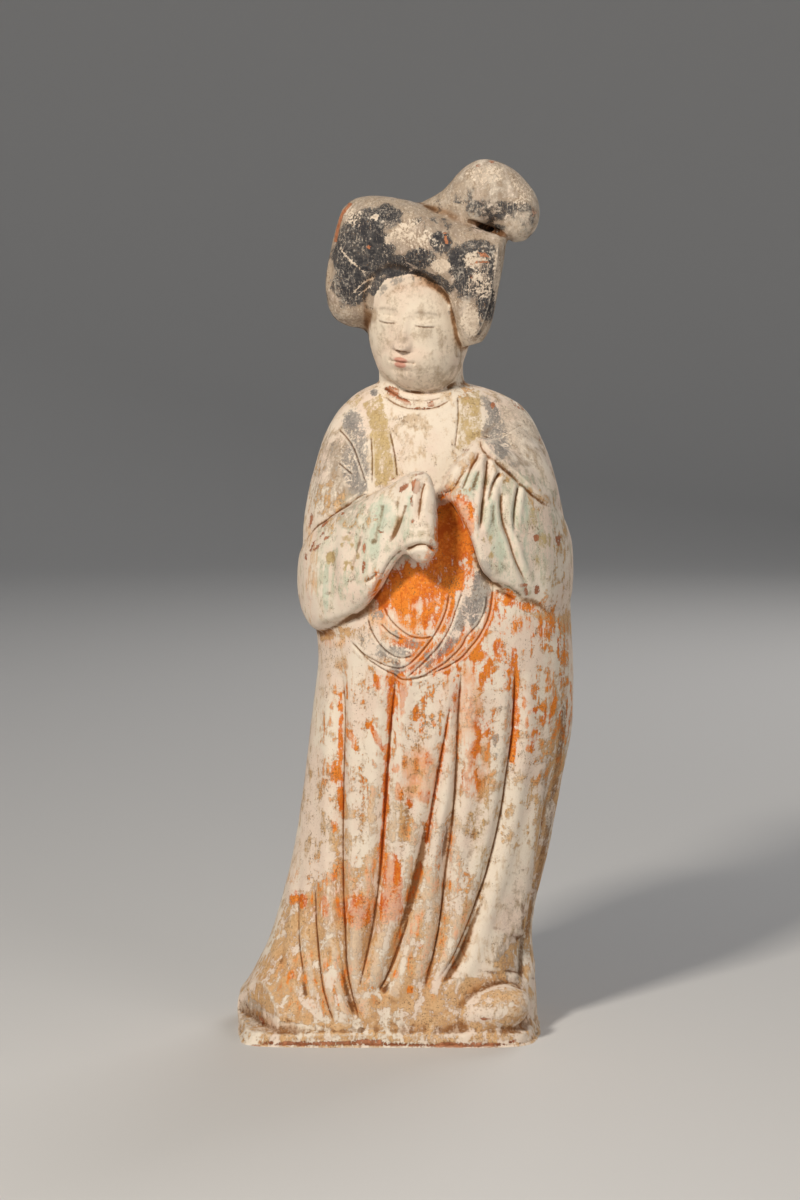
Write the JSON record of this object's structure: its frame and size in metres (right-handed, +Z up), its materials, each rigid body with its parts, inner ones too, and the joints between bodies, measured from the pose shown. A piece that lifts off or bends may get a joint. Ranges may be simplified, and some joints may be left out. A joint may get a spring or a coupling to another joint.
{
  "type": "court lady figure",
  "caption": "Standing court lady in a long robe, her hands raised in draped sleeves, with wide swept hair and a topknot, moulded in painted fired clay on a thin slab.",
  "frame": {"origin": "middle of the bounding box's foot, on the slab's underside", "axes": "+Z up the figure, -Y the way that she faces, +X to her left"},
  "size_m": [0.227, 0.1754, 0.5798],
  "materials": {
    "painted_clay": "matt white slip over fired red clay, with worn orange, black, green and ochre pigment"
  },
  "bodies": {
    "root": {"court_lady": "painted_clay"}
  },
  "joints": []
}
